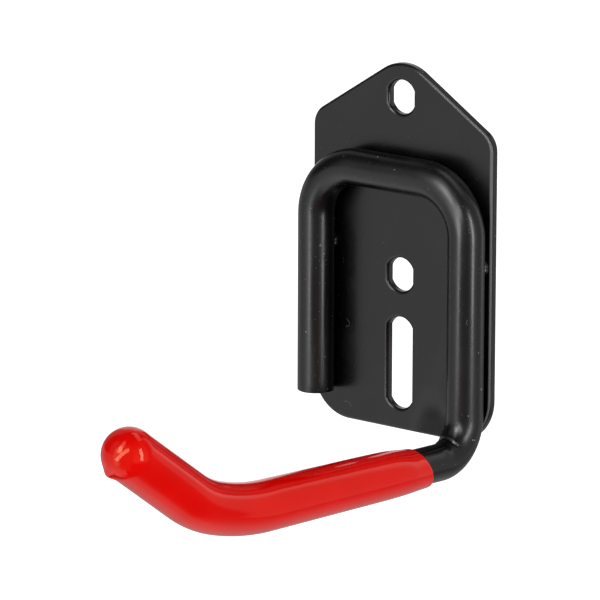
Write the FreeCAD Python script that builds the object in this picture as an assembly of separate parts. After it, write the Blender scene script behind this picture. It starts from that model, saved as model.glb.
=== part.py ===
import FreeCAD, Part
import math
import os

from FreeCAD import Vector

# A garage utility hook. One bent steel tube lies as an upside-down U on the front of a
# house-shaped wall plate and is welded to it. The U's left leg ends in a plain cut. Its
# right leg runs on below the plate, turns forward into the arm and rises at the tip. A
# dipped vinyl sleeve covers the arm.
#
# Millimetres. The wall is the plane Y = 0 and the hook stands out along -Y, with +Z up.
# X = 0 is the plate's centre line. Z = 0 is midway between the two round-ended screw
# holes. Heights below are measured up from the plate's bottom edge.

# Wall plate
PLATE_WIDTH = 61.5
PLATE_THICKNESS = 2.3
SHOULDER_HEIGHT = 83.4
PEAK_HEIGHT = 102.6
BOTTOM_CORNER_RADIUS = 12.5
SHOULDER_RADIUS = 6.0
PEAK_RADIUS = 12.5
FRONT_EDGE_RADIUS = 0.6
BACK_EDGE_RADIUS = 0.15

# Screw holes in the wall plate
HOLE_OFFSET = -0.35
HOLE_WIDTH = 8.3
HOLE_LENGTH = 9.2
HOLE_PITCH = 48.5
LOWER_HOLE_HEIGHT = 42.7
SLOT_LENGTH = 25.3
SLOT_DROP = 24.35

# Bent tube: its section and the loop on the plate
TUBE_DIAMETER = 10.0
TUBE_WALL = 1.2
LEG_SPACING = 51.6
LOOP_OFFSET = 0.5
BAR_HEIGHT = 71.5
LOOP_BEND_RADIUS = 14.4
LEG_END_HEIGHT = 8.0

# Bent tube: the arm, measured from the corner where its line meets the right leg's line
ARM_DROP = 2.0
ARM_BEND_RADIUS = 10.6
ARM_RISE_DEG = 2.2
ARM_LENGTH = 92.2
TIP_FIRST_TURN_DEG = 15.2
TIP_FIRST_RADIUS = 78.0
TIP_TURN_SPACING = 16.6
TIP_SECOND_TURN_DEG = 17.5
TIP_SECOND_RADIUS = 40.0
TIP_LENGTH = 32.0

# Vinyl sleeve: its walls over the tube at the rim, past the rim's taper and round the tip
SLEEVE_START = 19.3
RIM_SLANT_DEG = 24.0
RIM_TAPER_LENGTH = 9.0
RIM_WALL = 0.85
ARM_WALL = 1.5
TIP_WALL = 2.1
RIM_ROUND = 0.45
TUBE_END_COVER = 5.0
DRIP_RADIUS = 1.7
DRIP_REACH = 6.1
DRIP_SIDE_DEG = 30.0
DRIP_DOWN_DEG = 40.0

# Weld beads in the wedges beside the tube
BEAD_RADIUS = 1.3
BEAD_REACH = 2.5
BEAD_LIFT = 0.5
TACK_LENGTH = 3.0
TACK_HEIGHT = 48.9
SEAM_LENGTH = 10.0
SEAM_SPACING = 20.0

# Derived places
ORIGIN_HEIGHT = LOWER_HOLE_HEIGHT + HOLE_PITCH / 2.0
TUBE_RADIUS = TUBE_DIAMETER / 2.0
BORE_RADIUS = TUBE_RADIUS - TUBE_WALL
PLATE_FRONT = -PLATE_THICKNESS
TUBE_AXIS_Y = PLATE_FRONT - TUBE_RADIUS
LEFT_LEG_X = LOOP_OFFSET - LEG_SPACING / 2.0
RIGHT_LEG_X = LOOP_OFFSET + LEG_SPACING / 2.0
SLEEVE_RADIUS = TUBE_RADIUS + TIP_WALL

# Limits of the rounds where a wall is thin, and how near to a plane an edge counts as in it
LARGEST_BACK_SHARE = 0.25
LARGEST_RIM_SHARE = 0.9
IN_PLANE = 1e-6


def level(height):
    """Z of a height given from the plate's bottom edge."""
    return height - ORIGIN_HEIGHT


def rounded_edges(points, radii, closed):
    """Straight edges through the points, with a tangent arc at each point that has a radius."""
    count = len(points)
    corners = []
    for index, point in enumerate(points):
        ends = not closed and index in (0, count - 1)
        if ends or not radii[index]:
            corners.append((point, None, point))
            continue
        back = (points[index - 1] - point).normalize()
        ahead = (points[(index + 1) % count] - point).normalize()
        half = back.getAngle(ahead) / 2.0
        reach = radii[index] / math.tan(half)
        middle = (back + ahead).normalize()
        centre = point + middle * (radii[index] / math.sin(half))
        corners.append((point + back * reach, centre - middle * radii[index], point + ahead * reach))
    edges = []
    for index, (start, middle, end) in enumerate(corners):
        if middle is not None:
            edges.append(Part.Arc(start, middle, end).toShape())
        if closed or index < count - 1:
            following = corners[(index + 1) % count][0]
            edges.append(Part.LineSegment(end, following).toShape())
    return edges


def plate_outline():
    """The house shape, anticlockwise from the bottom left corner, on the wall plane."""
    half = PLATE_WIDTH / 2.0
    points = [
        Vector(-half, 0, level(0)),
        Vector(half, 0, level(0)),
        Vector(half, 0, level(SHOULDER_HEIGHT)),
        Vector(0, 0, level(PEAK_HEIGHT)),
        Vector(-half, 0, level(SHOULDER_HEIGHT)),
    ]
    radii = [BOTTOM_CORNER_RADIUS, BOTTOM_CORNER_RADIUS, SHOULDER_RADIUS, PEAK_RADIUS, SHOULDER_RADIUS]
    return Part.Wire(rounded_edges(points, radii, closed=True))


def hole_outline(height, length):
    """An upright round-ended hole on the wall plane, on the holes' line, centred at the height."""
    radius = HOLE_WIDTH / 2.0
    straight = max(length / 2.0 - radius, 0.0)
    low = Vector(HOLE_OFFSET, 0, level(height) - straight)
    high = Vector(HOLE_OFFSET, 0, level(height) + straight)
    side = Vector(radius, 0, 0)
    rise = Vector(0, 0, radius)
    edges = [
        Part.Arc(high + side, high + rise, high - side).toShape(),
        Part.Arc(low - side, low - rise, low + side).toShape(),
    ]
    if straight > 0:
        edges.insert(1, Part.LineSegment(high - side, low - side).toShape())
        edges.append(Part.LineSegment(low + side, high + side).toShape())
    return Part.Wire(edges)


def edges_at(shape, y):
    """Edges of the shape that lie wholly in the plane at y."""
    return [edge for edge in shape.Edges
            if abs(edge.BoundBox.YMin - y) < IN_PLANE and abs(edge.BoundBox.YMax - y) < IN_PLANE]


def make_wall_plate():
    """Stamped plate with two screw holes and a long slot, its front edges rolled over."""
    through = Vector(0, -PLATE_THICKNESS, 0)
    plate = Part.Face(plate_outline()).extrude(through)
    holes = [
        (LOWER_HOLE_HEIGHT + HOLE_PITCH, HOLE_LENGTH),
        (LOWER_HOLE_HEIGHT, HOLE_LENGTH),
        (LOWER_HOLE_HEIGHT - SLOT_DROP, SLOT_LENGTH),
    ]
    for height, length in holes:
        plate = plate.cut(Part.Face(hole_outline(height, length)).extrude(through))
    front_round = min(FRONT_EDGE_RADIUS, PLATE_THICKNESS / 2.0)
    back_round = min(BACK_EDGE_RADIUS, PLATE_THICKNESS * LARGEST_BACK_SHARE)
    plate = plate.makeFillet(front_round, edges_at(plate, PLATE_FRONT))
    return plate.makeFillet(back_round, edges_at(plate, 0.0))


def arm_direction(rise_deg):
    """Forward along the arm, raised by the angle."""
    rise = math.radians(rise_deg)
    return Vector(0, -math.cos(rise), math.sin(rise))


def tip_direction():
    """Along the tip, past both of its turns."""
    return arm_direction(ARM_RISE_DEG + TIP_FIRST_TURN_DEG + TIP_SECOND_TURN_DEG)


def arm_corners():
    """The arm's corner under the right leg, its two tip corners and the tip's end, in order."""
    heel = Vector(RIGHT_LEG_X, TUBE_AXIS_Y, level(-ARM_DROP))
    first = heel + arm_direction(ARM_RISE_DEG) * ARM_LENGTH
    second = first + arm_direction(ARM_RISE_DEG + TIP_FIRST_TURN_DEG) * TIP_TURN_SPACING
    end = second + tip_direction() * TIP_LENGTH
    return heel, first, second, end


def loop_corners():
    """The cut end of the left leg and the loop's two upper corners, in order."""
    return (
        Vector(LEFT_LEG_X, TUBE_AXIS_Y, level(LEG_END_HEIGHT)),
        Vector(LEFT_LEG_X, TUBE_AXIS_Y, level(BAR_HEIGHT)),
        Vector(RIGHT_LEG_X, TUBE_AXIS_Y, level(BAR_HEIGHT)),
    )


def sweep(profile, edges):
    """The solid that the profile sweeps along the edges."""
    return Part.Wire(edges).makePipe(profile)


def disc(centre, direction, radius):
    """A round face square to the direction."""
    return Part.Face(Part.Wire(Part.Circle(centre, direction, radius).toShape()))


def tube_path():
    """Centre line of the tube, from the left leg's cut end to its end inside the sleeve."""
    heel, first, second, end = arm_corners()
    cut = end + tip_direction() * (SLEEVE_RADIUS - TUBE_END_COVER)
    points = list(loop_corners()) + [heel, first, second, cut]
    radii = [0, LOOP_BEND_RADIUS, LOOP_BEND_RADIUS, ARM_BEND_RADIUS, TIP_FIRST_RADIUS, TIP_SECOND_RADIUS, 0]
    return rounded_edges(points, radii, closed=False)


def make_rod(radius):
    """A solid rod of the radius along the tube's centre line."""
    start = loop_corners()[0]
    return sweep(disc(start, Vector(0, 0, 1), radius), tube_path())


def make_hook_tube():
    """The bent tube, open at both ends."""
    return make_rod(TUBE_RADIUS).cut(make_rod(BORE_RADIUS))


def drip_nub(centre):
    """The blunt nub at the tip where the vinyl ran before it set."""
    side = math.radians(DRIP_SIDE_DEG)
    down = math.radians(DRIP_DOWN_DEG)
    towards = Vector(-math.sin(side) * math.cos(down), -math.cos(side) * math.cos(down), -math.sin(down))
    return Part.makeSphere(DRIP_RADIUS, centre + towards * DRIP_REACH)


def slant_rim(body, start):
    """Trims the sleeve's end along a slant through the start, lower side nearer the leg, and rounds it."""
    facing = arm_direction(ARM_RISE_DEG - RIM_SLANT_DEG) * -1
    reach = 2.0 * SLEEVE_START
    cutter = Part.makeCylinder(reach, reach, start, facing)
    body = body.cut(cutter)
    rim = [edge for edge in body.Edges if abs((edge.CenterOfMass - start).dot(facing)) < RIM_ROUND
           and (edge.CenterOfMass - start).Length < SLEEVE_RADIUS]
    return body.makeFillet(min(RIM_ROUND, RIM_WALL * LARGEST_RIM_SHARE), rim)


def make_grip_sleeve(rod):
    """Dipped sleeve: it thickens from a slanted rim along the arm and ends in a dome at the tip."""
    heel, first, second, end = arm_corners()
    along = arm_direction(ARM_RISE_DEG)
    start = heel + along * SLEEVE_START
    radii = [0, TIP_FIRST_RADIUS, TIP_SECOND_RADIUS, 0]
    straight, *bent = rounded_edges([start, first, second, end], radii, closed=False)
    overrun = SLEEVE_RADIUS * math.tan(math.radians(RIM_SLANT_DEG))
    rim_radius = TUBE_RADIUS + RIM_WALL
    arm_radius = TUBE_RADIUS + ARM_WALL
    lead = Part.makeCylinder(rim_radius, overrun, start - along * overrun, along)
    rim_taper = Part.makeCone(rim_radius, arm_radius, RIM_TAPER_LENGTH, start, along)
    taper_end = start + along * RIM_TAPER_LENGTH
    arm_taper = Part.makeCone(arm_radius, SLEEVE_RADIUS, straight.Length - RIM_TAPER_LENGTH, taper_end, along)
    shell = sweep(disc(start + along * straight.Length, along, SLEEVE_RADIUS), bent)
    dome = Part.makeSphere(SLEEVE_RADIUS, end, tip_direction(), 0, 90, 360)
    body = lead.fuse([rim_taper, arm_taper, shell, dome, drip_nub(end)]).removeSplitter()
    return slant_rim(body, start).cut(rod)


def make_bead(start, along, length, away):
    """One bead: a round-ended rod of weld metal laid beside the tube, before trimming."""
    low = start + away * BEAD_REACH + Vector(0, -BEAD_LIFT, 0) - along * (length / 2.0)
    rod = Part.makeCylinder(BEAD_RADIUS, length, low, along)
    ends = [Part.makeSphere(BEAD_RADIUS, low), Part.makeSphere(BEAD_RADIUS, low + along * length)]
    return rod.fuse(ends).removeSplitter()


def make_weld_beads(rod):
    """Tacks on both sides of each leg and two seams under the bar, trimmed to what they join."""
    up = Vector(0, 0, 1)
    across = Vector(1, 0, 0)
    tacks = [make_bead(Vector(leg, PLATE_FRONT, level(TACK_HEIGHT)), up, TACK_LENGTH, across * side)
             for leg in (LEFT_LEG_X, RIGHT_LEG_X) for side in (-1, 1)]
    seams = [make_bead(Vector(LOOP_OFFSET + SEAM_SPACING / 2.0 * side, PLATE_FRONT, level(BAR_HEIGHT)),
                       across, SEAM_LENGTH, up * -1) for side in (-1, 1)]
    reach = PLATE_WIDTH + LEG_SPACING
    behind = Part.makeBox(2 * reach, reach, 2 * reach, Vector(-reach, PLATE_FRONT, -reach))
    return Part.makeCompound([bead.cut(behind).cut(rod).Solids[0] for bead in tacks + seams])


def save(shape, node):
    """Write one node's STEP file and say what it holds."""
    shape.exportStep("parts/" + node + ".step")
    box = shape.BoundBox
    print(node, len(shape.Solids), "solid(s), valid", shape.isValid(), "volume", round(shape.Volume, 1),
          "box", [round(v, 2) for v in (box.XMin, box.XMax, box.YMin, box.YMax, box.ZMin, box.ZMax)])


os.makedirs("parts", exist_ok=True)
tube_rod = make_rod(TUBE_RADIUS)
save(make_wall_plate(), "wall_plate")
save(make_hook_tube(), "hook_tube")
save(make_weld_beads(tube_rod), "weld_beads")
save(make_grip_sleeve(tube_rod), "grip_sleeve")
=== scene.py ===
"""Looks of a garage utility hook: powder-coated plate and bent tube, weld beads and a dipped vinyl sleeve.

Sizes are millimetres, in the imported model's own axes: the wall is the plane Y = 0, the hook stands out
along -Y and +Z is up. Meshes are written in metres, and the floor, the lamps and the camera's clip
distances are given in metres. The tube, its beads and its sleeve are drawn flat, as station along the
tube's centre line, turn about it and reach from it, and Geometry Nodes wrap them round that line. Turn 0
faces the loop's inside on the left leg, and 90 degrees faces the plate.
"""

import logging
import math
from dataclasses import dataclass
from enum import Enum
from typing import Any, ClassVar

import bpy
import numpy as np
from mathutils import Matrix, Vector
from mathutils.geometry import tessellate_polygon


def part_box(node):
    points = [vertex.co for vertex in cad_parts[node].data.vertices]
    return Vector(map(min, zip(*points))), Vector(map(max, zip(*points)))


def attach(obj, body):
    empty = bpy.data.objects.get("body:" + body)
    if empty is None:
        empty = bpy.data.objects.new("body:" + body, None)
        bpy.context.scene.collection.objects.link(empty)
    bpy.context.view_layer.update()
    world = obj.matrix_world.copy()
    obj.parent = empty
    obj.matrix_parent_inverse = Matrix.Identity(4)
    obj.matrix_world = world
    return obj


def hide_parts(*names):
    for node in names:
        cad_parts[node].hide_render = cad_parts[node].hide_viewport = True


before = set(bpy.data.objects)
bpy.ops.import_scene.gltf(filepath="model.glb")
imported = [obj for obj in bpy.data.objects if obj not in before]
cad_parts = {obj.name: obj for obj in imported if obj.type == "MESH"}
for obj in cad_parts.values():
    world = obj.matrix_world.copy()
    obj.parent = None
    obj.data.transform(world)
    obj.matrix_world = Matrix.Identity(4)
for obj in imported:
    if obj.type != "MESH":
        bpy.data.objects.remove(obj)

LOG = logging.getLogger("garage_hook")
MM = 0.001
QUARTER_TURN = math.pi / 2.0
FULL_TURN = 2.0 * math.pi
TINY = 1e-6
# Attribute that carries the bend radius at each corner of the tube's centre line.
BEND_RADIUS = "bend_radius"
# Attribute that gives a wrapped point's place with the tube drawn out straight.
STRAIGHT = "straightened_place"
Colour = tuple[float, float, float]
Place = tuple[float, float, float]


class Slot(Enum):
    """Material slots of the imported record."""

    POWDER_COAT = "black_powder_coat"
    VINYL = "red_vinyl"


class Node(Enum):
    """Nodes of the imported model."""

    PLATE = "wall_plate"
    TUBE = "hook_tube"
    BEADS = "weld_beads"
    SLEEVE = "grip_sleeve"


def node_box(node: Node) -> tuple[Vector, Vector]:
    """Return the node's lowest and highest corner in millimetres."""
    low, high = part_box(node.value)
    return low / MM, high / MM


def smooth_step(value: np.ndarray, start: float, end: float) -> np.ndarray:
    """Rise smoothly from 0 at start to 1 at end.

    Args:
        value: Where to read the rise.
        start: Value at and below which the result is 0.
        end: Value at and above which the result is 1.

    Returns:
        The rise at each value.
    """
    share = np.clip((value - start) / (end - start), 0.0, 1.0)
    return share * share * (3.0 - 2.0 * share)


class NodeSheet:
    """Short ways to add and join nodes of one node tree."""

    def __init__(self, tree: bpy.types.NodeTree) -> None:
        """Keep the tree.

        Args:
            tree: Tree that the nodes go into.
        """
        self.tree = tree

    def add(self, kind: str, inputs: dict[Any, Any] | None = None, **settings: Any) -> bpy.types.Node:
        """Add a node.

        Args:
            kind: The node's type name.
            inputs: Values or output sockets, by the input's name or index.
            settings: The node's own settings.

        Returns:
            The new node.
        """
        node = self.tree.nodes.new(kind)
        for name, value in settings.items():
            setattr(node, name, value)
        for name, value in (inputs or {}).items():
            self.join(value, node.inputs[name])
        return node

    def join(self, value: Any, socket: bpy.types.NodeSocket) -> None:
        """Link an output socket to an input, or set the input's value.

        Args:
            value: Output socket or plain value.
            socket: Input that takes it.
        """
        if isinstance(value, bpy.types.NodeSocket):
            self.tree.links.new(value, socket)
        else:
            socket.default_value = value

    def math(self, operation: str, *values: Any) -> bpy.types.NodeSocket:
        """Add a Math node and return its result."""
        return self.add("ShaderNodeMath", dict(enumerate(values)), operation=operation).outputs[0]

    def measure(self, operation: str, first: Any, second: Any) -> bpy.types.NodeSocket:
        """Add a Vector Math node and return its number."""
        return self.add("ShaderNodeVectorMath", {0: first, 1: second}, operation=operation).outputs["Value"]

    def vector(self, operation: str, first: Any, second: Any = None,
               scale: Any = None) -> bpy.types.NodeSocket:
        """Add a Vector Math node.

        Args:
            operation: What the node works out.
            first: First vector.
            second: Second vector, where the operation has one.
            scale: Factor, where the operation has one.

        Returns:
            The node's vector.
        """
        inputs: dict[Any, Any] = {0: first}
        if second is not None:
            inputs[1] = second
        if scale is not None:
            inputs["Scale"] = scale
        return self.add("ShaderNodeVectorMath", inputs, operation=operation).outputs["Vector"]

    def ramp(self, value: Any, start: float, end: float, low: float = 0.0,
             high: float = 1.0) -> bpy.types.NodeSocket:
        """Add a smooth Map Range node.

        Args:
            value: Socket to read.
            start: Value that gives low.
            end: Value that gives high.
            low: Result on start's side of the range.
            high: Result on end's side of the range.

        Returns:
            The mapped value.
        """
        inputs = {"Value": value, "From Min": start, "From Max": end, "To Min": low, "To Max": high}
        return self.add("ShaderNodeMapRange", inputs, interpolation_type="SMOOTHSTEP").outputs["Result"]

    def seen_by_camera(self) -> bpy.types.NodeSocket:
        """Add a value that is 1 for what the camera sees, straight or through glass, and 0 otherwise."""
        path = self.add("ShaderNodeLightPath").outputs
        return self.math("MAXIMUM", path["Is Camera Ray"], path["Is Transmission Ray"])

    def noise(self, place: bpy.types.NodeSocket, scale: float, detail: float,
              roughness: float = 0.5) -> bpy.types.NodeSocket:
        """Add a Noise Texture node.

        Args:
            place: Coordinates that the noise follows, in metres.
            scale: How many waves the noise has in a metre.
            detail: Number of finer layers.
            roughness: How strong each finer layer is.

        Returns:
            The noise, from 0 to 1.
        """
        inputs = {"Vector": place, "Scale": scale, "Detail": detail, "Roughness": roughness}
        return self.add("ShaderNodeTexNoise", inputs).outputs["Fac"]

    def blend(self, share: Any, first: Colour, second: Colour) -> bpy.types.NodeSocket:
        """Add a Mix node for two colours.

        Args:
            share: Share of the second colour.
            first: Colour where the share is 0.
            second: Colour where the share is 1.

        Returns:
            The blended colour.
        """
        # The node's two colours are its inputs 6 and 7, and their mix is its output 2.
        inputs = {0: share, 6: (*first, 1.0), 7: (*second, 1.0)}
        return self.add("ShaderNodeMix", inputs, data_type="RGBA").outputs[2]

    def mix(self, share: Any, first: Any, second: Any) -> bpy.types.NodeSocket:
        """Add a Mix node for two numbers, first where the share is 0 and second where it is 1."""
        return self.add("ShaderNodeMix", {0: share, 2: first, 3: second}).outputs[0]

    def bump(self, height: bpy.types.NodeSocket, depth: float) -> bpy.types.NodeSocket:
        """Add a Bump node.

        Args:
            height: Height of the surface, in units of the depth.
            depth: How far a height of 1 stands out, in millimetres.

        Returns:
            The bent normal.
        """
        inputs = {"Height": height, "Strength": 1.0, "Distance": depth * MM}
        return self.add("ShaderNodeBump", inputs).outputs["Normal"]


def new_finish(name: str) -> tuple[bpy.types.Material, NodeSheet, bpy.types.Node]:
    """Make a material that holds only its surface shader.

    Args:
        name: The material's name.

    Returns:
        The material, its node sheet and its shader.
    """
    material = bpy.data.materials.new(name)
    material.use_nodes = True
    return material, NodeSheet(material.node_tree), material.node_tree.nodes["Principled BSDF"]


def studio_finish(name: str, colour: Colour) -> tuple[bpy.types.Material, NodeSheet, bpy.types.Node]:
    """Make a material without gloss that can glow white.

    Args:
        name: The material's name.
        colour: Its own colour.

    Returns:
        The material, its node sheet and its shader.
    """
    material, sheet, shader = new_finish(name)
    shader.inputs["Base Color"].default_value = (*colour, 1.0)
    shader.inputs["Specular IOR Level"].default_value = 0.0
    shader.inputs["Emission Color"].default_value = (1.0, 1.0, 1.0, 1.0)
    return material, sheet, shader


def add_object(name: str, data: bpy.types.ID) -> bpy.types.Object:
    """Add a mesh, a lamp or a camera to the scene.

    Args:
        name: The object's name.
        data: The mesh, lamp or camera.

    Returns:
        The object, at the origin.
    """
    added = bpy.data.objects.new(name, data)
    bpy.context.scene.collection.objects.link(added)
    return added


def add_card(name: str, corners: list[Place], finish: bpy.types.Material) -> bpy.types.Object:
    """Add a flat card to the scene.

    Args:
        name: The card's name.
        corners: Its four corners in order, in metres.
        finish: Its material.

    Returns:
        The card.
    """
    mesh = bpy.data.meshes.new(name)
    mesh.from_pydata(corners, [], [(0, 1, 2, 3)])
    mesh.materials.append(finish)
    return add_object(name, mesh)


@dataclass(frozen=True)
class Speckle:
    """Fine grit lying on a surface, as one layer of random cells."""

    cell: float
    size: float
    share: float
    seed: float
    strength: float = 1.0
    drift_scale: ClassVar[float] = 55.0
    drift_range: ClassVar[tuple[float, float]] = (0.42, 0.66)
    drift_gain: ClassVar[tuple[float, float]] = (0.25, 2.2)
    rim: ClassVar[tuple[float, float]] = (-0.02, 0.03)

    def mask(self, sheet: NodeSheet, place: bpy.types.NodeSocket) -> bpy.types.NodeSocket:
        """Add the nodes of one layer of specks, thicker in some places than in others.

        Args:
            sheet: Material's node sheet.
            place: Object coordinates in metres.

        Returns:
            A value that is the layer's strength on a speck and 0 elsewhere.
        """
        shifted = sheet.vector("ADD", place, (self.seed, self.seed, self.seed))
        inputs = {"Vector": shifted, "Scale": 1.0 / (self.cell * MM), "Randomness": 1.0}
        cells = sheet.add("ShaderNodeTexVoronoi", inputs, voronoi_dimensions="3D", feature="F1")
        chance = sheet.add("ShaderNodeSeparateColor", {"Color": cells.outputs["Color"]})
        drift = sheet.noise(shifted, self.drift_scale, detail=1.0)
        few, many = (gain * self.share for gain in self.drift_gain)
        share = sheet.ramp(drift, *self.drift_range, few, many)
        chosen = sheet.math("LESS_THAN", chance.outputs["Red"], share)
        radius = sheet.math("MULTIPLY", chance.outputs["Green"], self.size / self.cell)
        near = sheet.math("SUBTRACT", radius, cells.outputs["Distance"])
        return sheet.math("MULTIPLY", sheet.ramp(near, *self.rim, 0.0, self.strength), chosen)


@dataclass(frozen=True)
class Stroke:
    """A short thin mark, such as a fibre or a scratch, through some points."""

    points: tuple[Place, ...]
    width: float
    strength: float = 0.22
    core: ClassVar[float] = 0.3

    def mask(self, sheet: NodeSheet, place: bpy.types.NodeSocket) -> bpy.types.NodeSocket:
        """Add the nodes that draw the mark.

        Args:
            sheet: Material's node sheet.
            place: Coordinates in metres that the points are given in.

        Returns:
            A value that is the mark's strength on it and 0 elsewhere.
        """
        nearest: Any = 1.0
        for start, end in zip(self.points, self.points[1:]):
            first, run = Vector(start) * MM, (Vector(end) - Vector(start)) * MM
            offset = sheet.vector("SUBTRACT", place, tuple(first))
            along = sheet.measure("DOT_PRODUCT", offset, tuple(run))
            share = sheet.add("ShaderNodeMath", {0: along, 1: run.length_squared},
                              operation="DIVIDE", use_clamp=True)
            reached = sheet.vector("SCALE", tuple(run), scale=share.outputs[0])
            nearest = sheet.math("MINIMUM", nearest, sheet.measure("DISTANCE", offset, reached))
        return sheet.ramp(nearest, self.width * MM, self.core * self.width * MM, 0.0, self.strength)


@dataclass(frozen=True)
class Stain:
    """A dull round blotch that softens the gloss."""

    middle: Place
    radius: float
    strength: float
    core: ClassVar[float] = 0.35

    def mask(self, sheet: NodeSheet, place: bpy.types.NodeSocket) -> bpy.types.NodeSocket:
        """Add the nodes of the blotch.

        Args:
            sheet: Material's node sheet.
            place: Object coordinates in metres.

        Returns:
            A value that rises from 0 at the blotch's edge to its strength in the middle.
        """
        away = sheet.measure("DISTANCE", place, tuple(Vector(self.middle) * MM))
        return sheet.ramp(away, self.radius * MM, self.core * self.radius * MM, 0.0, self.strength)


@dataclass(frozen=True)
class PowderCoat:
    """Satin black powder coat with fine texture, mottled gloss, a few dusty specks and a painted highlight
    that can be set along the plate's front edge.
    """

    colour: Colour = (0.0009, 0.0009, 0.00095)
    # Pale grey of the dusty specks, also the colour of the painted edge highlight.
    dust_and_highlight_colour: Colour = (0.20, 0.20, 0.205)
    roughness: float = 0.28
    roughness_swing: float = 0.05
    mottle_scale: float = 60.0
    mottle_range: tuple[float, float] = (0.3, 0.7)
    texture_size: float = 0.9
    texture_depth: float = 0.010
    texture_roughness: float = 0.55
    streak_depth: float = 0.0
    streak_scale: float = 900.0
    streak_stretch: tuple[float, float, float] = (0.05, 1.0, 1.0)
    dust_and_highlight_dullness: float = 0.5
    dust_and_highlight_height: float = 2.0
    specks: tuple[Speckle, ...] = (Speckle(1.3, 0.20, 0.16, 0.0, 0.8), Speckle(3.1, 0.34, 0.20, 0.4),
                                   Speckle(0.8, 0.17, 0.22, 0.9, 0.2))
    strokes: tuple[Stroke, ...] = ()
    stains: tuple[Stain, ...] = ()
    # Strength of a painted highlight: pale coat along the rolled front edge, right of the middle.
    painted_edge_highlight: float = 0.0
    edge_depths: tuple[float, float, float, float] = (-2.28, -2.17, -1.98, -1.80)
    highlight_from: tuple[float, float] = (4.0, 12.0)

    def build(self) -> bpy.types.Material:
        """Make the finish.

        Returns:
            A new material.
        """
        material, sheet, shader = new_finish(Slot.POWDER_COAT.value)
        place = sheet.add("ShaderNodeTexCoord").outputs["Object"]
        straight = place
        if self.streak_depth:
            straight = sheet.add("ShaderNodeAttribute", attribute_name=STRAIGHT).outputs["Vector"]
        # This mask holds the dusty specks and strokes, and on the plate also the painted edge highlight,
        # which pales the colour.
        dust_and_edge_highlight = self.dust_and_edge_highlight(sheet, place, straight)
        sheet.join(sheet.blend(dust_and_edge_highlight, self.colour, self.dust_and_highlight_colour), shader.inputs["Base Color"])
        sheet.join(self.dullness(sheet, place, dust_and_edge_highlight), shader.inputs["Roughness"])
        sheet.join(self.relief(sheet, place, straight, dust_and_edge_highlight), shader.inputs["Normal"])
        return material

    def dust_and_edge_highlight(self, sheet: NodeSheet, place: bpy.types.NodeSocket,
             straight: bpy.types.NodeSocket) -> bpy.types.NodeSocket:
        """Add the nodes of all that shows pale on the coat: specks, strokes and, where it is set, the painted
        highlight along the plate's front edge.

        Args:
            sheet: Material's node sheet.
            place: Object coordinates in metres.
            straight: Coordinates that the strokes are given in, in metres.

        Returns:
            A value from 0 on the bare coat to 1 on a full speck.
        """
        marks = [layer.mask(sheet, place) for layer in self.specks]
        marks += [stroke.mask(sheet, straight) for stroke in self.strokes]
        # The plate's edge band is a painted highlight, joined to the dusty specks' mask.
        if self.painted_edge_highlight:
            marks.append(self.edge_highlight_mask(sheet, place))
        strongest = marks[0]
        for mark in marks[1:]:
            strongest = sheet.math("MAXIMUM", strongest, mark)
        return strongest

    def edge_highlight_mask(self, sheet: NodeSheet, place: bpy.types.NodeSocket) -> bpy.types.NodeSocket:
        """Add the nodes of a painted highlight: the coat made paler along the rolled front edge of the
        plate's right half, where the roll catches the light.

        Args:
            sheet: Material's node sheet.
            place: Object coordinates in metres.

        Returns:
            A value that is the painted highlight's strength on the edge and 0 elsewhere.
        """
        parts = sheet.add("ShaderNodeSeparateXYZ", {0: place}).outputs
        # The band lies on the front roll, and the painted highlight fades in only right of the middle.
        front, full, highlight_full, highlight_gone = (depth * MM for depth in self.edge_depths)
        start, end = (across * MM for across in self.highlight_from)
        rising, falling = sheet.ramp(parts["Y"], front, full), sheet.ramp(parts["Y"], highlight_gone, highlight_full)
        edge = sheet.math("MULTIPLY", rising, falling)
        return sheet.math("MULTIPLY", edge, sheet.ramp(parts["X"], start, end, 0.0, self.painted_edge_highlight))

    def dullness(self, sheet: NodeSheet, place: bpy.types.NodeSocket,
                 dust_and_edge_highlight: bpy.types.NodeSocket) -> bpy.types.NodeSocket:
        """Add the nodes of the mottled gloss, duller on stains, on dusty specks and on the painted edge
        highlight.

        Args:
            sheet: Material's node sheet.
            place: Object coordinates in metres.
            dust_and_edge_highlight: How much dusty grit lies at each place, together with the painted edge
                highlight.

        Returns:
            The shader's roughness.
        """
        broad = sheet.noise(place, self.mottle_scale, detail=3.0)
        low, high = self.roughness - self.roughness_swing, self.roughness + self.roughness_swing
        plain = sheet.ramp(broad, *self.mottle_range, low, high)
        for stain in self.stains:
            plain = sheet.math("ADD", plain, stain.mask(sheet, place))
        return sheet.math("MULTIPLY_ADD", dust_and_edge_highlight, self.dust_and_highlight_dullness, plain)

    def relief(self, sheet: NodeSheet, place: bpy.types.NodeSocket, straight: bpy.types.NodeSocket,
               dust_and_edge_highlight: bpy.types.NodeSocket) -> bpy.types.NodeSocket:
        """Add the nodes of the fine texture, the height of the specks and of the painted edge highlight, and
        the tube's drawn streaks.

        Args:
            sheet: Material's node sheet.
            place: Object coordinates in metres.
            straight: Coordinates with the tube drawn out straight, in metres.
            dust_and_edge_highlight: How much dusty grit lies at each place, together with the painted edge
                highlight.

        Returns:
            The bent normal.
        """
        grain = sheet.noise(place, 1.0 / (self.texture_size * MM), detail=2.0,
                            roughness=self.texture_roughness)
        height = sheet.math("MULTIPLY_ADD", dust_and_edge_highlight, self.dust_and_highlight_height, grain)
        if self.streak_depth:
            drawn = sheet.vector("MULTIPLY", straight, self.streak_stretch)
            streaks = sheet.noise(drawn, self.streak_scale, detail=2.0)
            height = sheet.math("MULTIPLY_ADD", streaks, self.streak_depth / self.texture_depth, height)
        return sheet.bump(height, self.texture_depth)


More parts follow.
